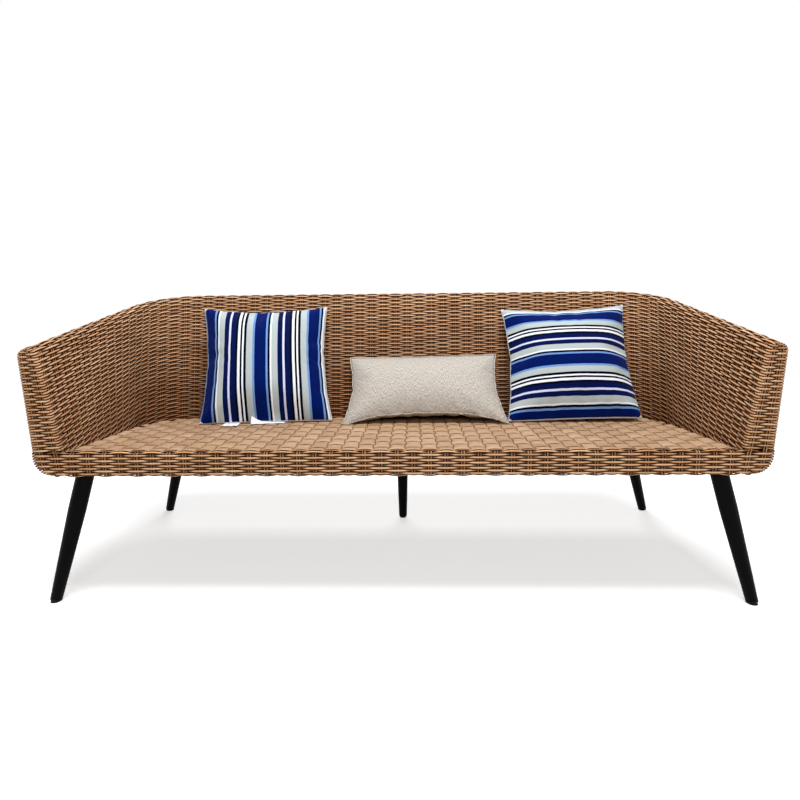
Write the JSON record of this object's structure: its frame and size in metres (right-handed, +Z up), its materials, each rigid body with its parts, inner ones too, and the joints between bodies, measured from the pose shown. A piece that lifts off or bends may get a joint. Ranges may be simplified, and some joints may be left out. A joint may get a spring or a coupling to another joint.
{
  "type": "garden sofa",
  "caption": "Woven resin rattan garden sofa with sloping arms, rounded rear corners, splayed round tapered legs and loose scatter cushions.",
  "frame": {"origin": "on the floor, under the middle of the whole sofa", "axes": "+X along the seat to the right as seen from the front, +Y from the front to the back, +Z up"},
  "size_m": [1.9994, 0.7887, 0.8796],
  "materials": {
    "cane": "round woven resin cane, mottled honey brown",
    "deck": "flat woven resin strips, light honey brown",
    "frame": "brown powder coat on tube",
    "leg": "satin black powder coat",
    "steel": "zinc-plated thread",
    "glide": "moulded black",
    "stripes": "woven stripes in blues, white and grey-green",
    "linen": "plain greige linen weave"
  },
  "bodies": {
    "sofa": {"wicker_arm_left": "cane", "wicker_arm_right": "cane", "wicker_corner_left": "cane", "wicker_corner_right": "cane", "wicker_back": "cane", "wicker_front_apron": "cane", "wicker_seat_deck": "deck", "seat_front_rail": "frame", "seat_rear_rail": "frame", "seat_side_rail_left": "frame", "seat_side_rail_right": "frame", "seat_cross_bar_1": "frame", "seat_cross_bar_2": "frame", "seat_cross_bar_3": "frame", "seat_cross_bar_4": "frame", "seat_cross_bar_5": "frame", "base_front_rail": "frame", "base_bent_rail": "frame", "base_cross_tube_left": "frame", "base_cross_tube_middle": "frame", "base_cross_tube_right": "frame", "top_hoop": "frame", "arm_front_post_left": "frame", "arm_front_post_right": "frame", "arm_post_left": "frame", "arm_post_right": "frame", "corner_post_left": "frame", "corner_post_right": "frame", "back_outer_post_left": "frame", "back_outer_post_right": "frame", "back_inner_post_left": "frame", "back_inner_post_middle": "frame", "back_inner_post_right": "frame", "leg_plate_front_left": "frame", "leg_plate_front_right": "frame", "leg_plate_rear_left": "frame", "leg_plate_rear_right": "frame", "leg_plate_middle": "frame", "leg_front_left": "leg", "leg_front_right": "leg", "leg_rear_left": "leg", "leg_rear_right": "leg", "leg_middle": "leg", "leg_stud_front_left": "steel", "leg_stud_front_right": "steel", "leg_stud_rear_left": "steel", "leg_stud_rear_right": "steel", "leg_stud_middle": "steel", "leg_glide_front_left": "glide", "leg_glide_front_right": "glide", "leg_glide_rear_left": "glide", "leg_glide_rear_right": "glide", "leg_glide_middle": "glide"},
    "cushion_left": {"cushion_left": "stripes"},
    "cushion_middle": {"cushion_middle": "linen"},
    "cushion_right": {"cushion_right": "stripes"}
  },
  "joints": [
    {"name": "cushion_left_lift", "type": "slide", "parent": "sofa", "child": "cushion_left", "axis": [0, 0, 1], "range_m": [0, 0.3]},
    {"name": "cushion_middle_lift", "type": "slide", "parent": "sofa", "child": "cushion_middle", "axis": [0, 0, 1], "range_m": [0, 0.3]},
    {"name": "cushion_right_lift", "type": "slide", "parent": "sofa", "child": "cushion_right", "axis": [0, 0, 1], "range_m": [0, 0.3]}
  ]
}
